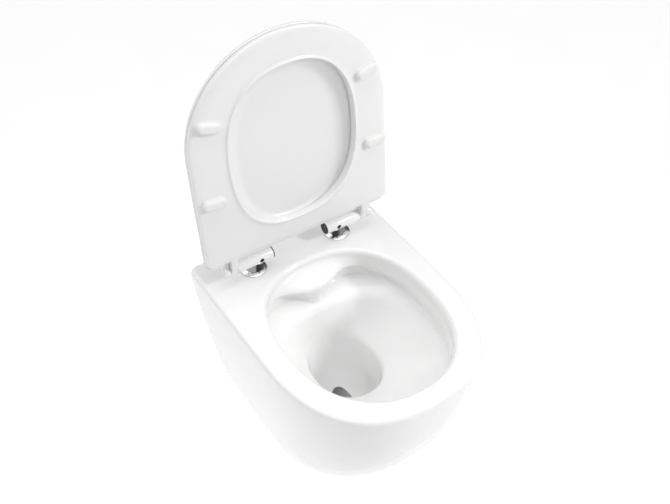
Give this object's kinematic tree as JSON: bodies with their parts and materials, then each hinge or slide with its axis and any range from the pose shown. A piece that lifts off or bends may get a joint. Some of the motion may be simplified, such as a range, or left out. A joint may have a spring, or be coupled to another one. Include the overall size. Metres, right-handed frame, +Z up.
{
  "type": "wall-hung toilet",
  "caption": "Wall-hung rimless toilet pan with D-shaped soft-close seat and lid on quick-release barrel hinges.",
  "frame": {"origin": "on the wall plane, midway between the two wall stud holes", "axes": "+Y into the wall, +Z up, +X to the right for someone facing the toilet; the front of the pan points to -Y"},
  "size_m": [0.359, 0.4539, 0.7639],
  "materials": {
    "glazed_ceramic": "glossy white glaze",
    "seat_plastic": "glossy white thermoset",
    "buffer_plastic": "soft white",
    "barrel_plastic": "satin light grey",
    "chrome": "polished",
    "steel": "plain",
    "dark_plastic": "black nylon",
    "rubber": "matte black"
  },
  "bodies": {
    "pan": {"pan": "glazed_ceramic", "disc_gasket_left": "rubber", "disc_gasket_right": "rubber", "base_disc_left": "chrome", "base_disc_right": "chrome", "hinge_post_left": "chrome", "hinge_post_right": "chrome", "fixing_bolt_left": "steel", "fixing_bolt_right": "steel", "expansion_plug_left": "rubber", "expansion_plug_right": "rubber", "clamp_nut_left": "steel", "clamp_nut_right": "steel"},
    "hinge_set": {"hinge_barrel_left": "barrel_plastic", "hinge_barrel_right": "barrel_plastic", "damper_left": "steel", "damper_right": "steel", "barrel_plug_left": "dark_plastic", "barrel_plug_right": "dark_plastic"},
    "lock_screw_left": {"lock_screw_left": "dark_plastic"},
    "lock_screw_right": {"lock_screw_right": "dark_plastic"},
    "lid": {"lid": "seat_plastic", "lid_buffer_left": "buffer_plastic", "lid_buffer_right": "buffer_plastic"},
    "seat": {"seat_ring": "seat_plastic", "seat_buffer_front_left": "buffer_plastic", "seat_buffer_front_right": "buffer_plastic", "seat_buffer_rear_left": "buffer_plastic", "seat_buffer_rear_right": "buffer_plastic"}
  },
  "joints": [
    {"name": "lift_off", "type": "slide", "parent": "pan", "child": "hinge_set", "axis": [0, 0, 1], "range_m": [0, 0.03]},
    {"name": "lid_hinge", "type": "hinge", "parent": "hinge_set", "child": "lid", "pos_m": [0, -0.0645, 0.109], "axis": [-1, 0, 0], "range_deg": [-97.8, 0]},
    {"name": "seat_hinge", "type": "hinge", "parent": "lid", "child": "seat", "pos_m": [0, -0.0645, 0.109], "axis": [1, 0, 0], "range_deg": [0, 97.8]},
    {"name": "left_lock_turn", "type": "hinge", "parent": "hinge_set", "child": "lock_screw_left", "pos_m": [-0.0775, -0.0725, 0.109], "axis": [0, -1, 0], "range_deg": [0, 180]},
    {"name": "right_lock_turn", "type": "hinge", "parent": "hinge_set", "child": "lock_screw_right", "pos_m": [0.0775, -0.0725, 0.109], "axis": [0, -1, 0], "range_deg": [0, 180]}
  ]
}
